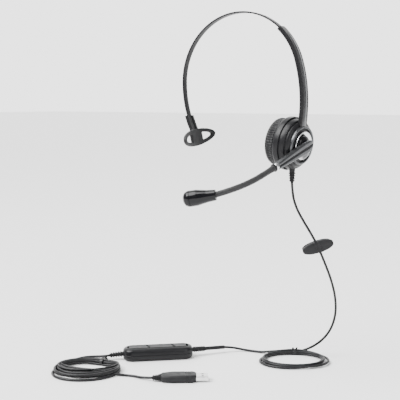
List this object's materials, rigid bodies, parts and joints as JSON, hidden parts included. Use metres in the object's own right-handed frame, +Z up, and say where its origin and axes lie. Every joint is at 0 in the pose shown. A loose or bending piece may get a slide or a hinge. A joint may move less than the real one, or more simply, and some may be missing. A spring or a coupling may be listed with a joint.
{
  "type": "office headset",
  "caption": "One-ear office headset with a sliding headband, pivoting ear cup, swinging boom microphone, clothing clip, inline controller and plug lead.",
  "frame": {"origin": "midway between the wearer's ears", "axes": "+X towards the ear cup, on the wearer's left; the wearer faces -Y; +Z up towards the top of the head"},
  "size_m": [0.2432, 0.2187, 0.3788],
  "materials": {
    "black_satin": "satin",
    "black_gloss": "gloss",
    "black_band": "satin",
    "silver_paint": "satin",
    "chrome": "polished",
    "spring_steel": "satin",
    "switch_steel": "satin",
    "plug_metal": "satin",
    "plug_tongue": "satin",
    "circuit_board": "satin",
    "black_rubber": "matte",
    "soft_black": "satin",
    "key_rubber": "matte",
    "cord_jacket": "satin",
    "tie_wire": "satin",
    "gooseneck_grey": "satin",
    "leatherette": "satin",
    "grille_cloth": "woven",
    "diaphragm_film": "satin"
  },
  "bodies": {
    "root": {"arm_outer_shell": "black_satin", "arm_inner_shell": "black_satin", "arm_spine": "silver_paint", "friction_spring": "spring_steel", "pivot_housing": "black_satin", "trim_ring": "silver_paint", "pivot_dish": "chrome", "ball_socket": "black_satin", "cord_boot": "black_rubber", "headset_cord": "cord_jacket", "headset_coil": "cord_jacket", "headset_coil_tie": "tie_wire", "headset_cord_tail": "cord_jacket", "controller_top": "black_satin", "controller_bottom": "black_satin", "controller_board": "circuit_board", "controller_switches": "switch_steel", "controller_screws": "spring_steel", "controller_boot_headset": "black_rubber", "controller_boot_usb": "black_rubber", "usb_cord": "cord_jacket", "usb_coil": "cord_jacket", "usb_coil_tie": "tie_wire", "usb_cord_tail": "cord_jacket", "plug_boot": "black_rubber", "plug_body": "black_satin", "plug_shell": "plug_metal", "plug_tongue": "plug_tongue", "clip_front": "black_satin", "clip_pin": "spring_steel", "clip_spring": "spring_steel"},
    "clip_jaw": {"clip_jaw": "black_satin"},
    "band": {"band_strip": "black_band", "band_shoe": "black_satin", "temple_bracket": "black_satin", "temple_pad": "soft_black"},
    "ball": {"tilt_ball": "black_satin"},
    "cup": {"cup_shell": "black_satin", "cup_baffle": "black_satin", "speaker_driver": "switch_steel", "speaker_diaphragm": "diaphragm_film", "cushion_ring": "black_satin", "ear_cushion": "leatherette", "grille_cloth": "grille_cloth"},
    "boom": {"boom_hub": "black_gloss", "boom_arm": "silver_paint", "boom_ridge": "silver_paint", "boom_shaft": "black_satin", "boom_collar": "chrome", "boom_ring": "black_satin", "gooseneck_base": "gooseneck_grey"},
    "mic": {"gooseneck_tip": "gooseneck_grey", "mic_shell": "black_gloss", "mic_nose": "black_gloss", "mic_capsule": "switch_steel"},
    "key_volume_up": {"key_volume_up": "key_rubber"},
    "key_mute": {"key_mute": "key_rubber"},
    "key_volume_down": {"key_volume_down": "key_rubber"}
  },
  "joints": [
    {"name": "band_slide", "type": "hinge", "parent": "root", "child": "band", "pos_m": [-0.0027, 0, 0.0626], "axis": [0, 1, 0], "range_deg": [-12.5, 12]},
    {"name": "cup_tilt", "type": "hinge", "parent": "root", "child": "ball", "pos_m": [0.0582, 0.00169, -0.00177], "axis": [0.1219, 0.9925, 0], "range_deg": [-4, 4]},
    {"name": "cup_turn", "type": "hinge", "parent": "ball", "child": "cup", "pos_m": [0.0582, 0.00169, -0.00177], "axis": [0.1158, -0.0142, 0.9932], "range_deg": [-4, 4]},
    {"name": "boom_swing", "type": "hinge", "parent": "root", "child": "boom", "pos_m": [0.072, 0, -0.0034], "axis": [0.9858, -0.121, -0.1167], "range_deg": [-92, 200], "deforming": ["headset_cord"]},
    {"name": "mic_bend", "type": "hinge", "parent": "boom", "child": "mic", "pos_m": [0.05025, -0.0825, -0.03875], "axis": [-0.1804, -0.2646, 0.9473], "range_deg": [-20, 20], "deforming": ["gooseneck_base", "gooseneck_tip"]},
    {"name": "clip_open", "type": "hinge", "parent": "root", "child": "clip_jaw", "pos_m": [0.08114, 0.02758, -0.11074], "axis": [0.177, 0.2471, -0.9527], "range_deg": [0, 12], "stiffness_Nm_per_rad": 0.02, "springref_deg": -20.05, "deforming": ["clip_spring"]},
    {"name": "key_volume_up_press", "type": "slide", "parent": "root", "child": "key_volume_up", "axis": [0, 0, -1], "range_m": [0, 0.0006], "stiffness_N_per_m": 450, "springref_m": -0.0006},
    {"name": "key_mute_press", "type": "slide", "parent": "root", "child": "key_mute", "axis": [0, 0, -1], "range_m": [0, 0.0006], "stiffness_N_per_m": 450, "springref_m": -0.0006},
    {"name": "key_volume_down_press", "type": "slide", "parent": "root", "child": "key_volume_down", "axis": [0, 0, -1], "range_m": [0, 0.0006], "stiffness_N_per_m": 450, "springref_m": -0.0006}
  ]
}
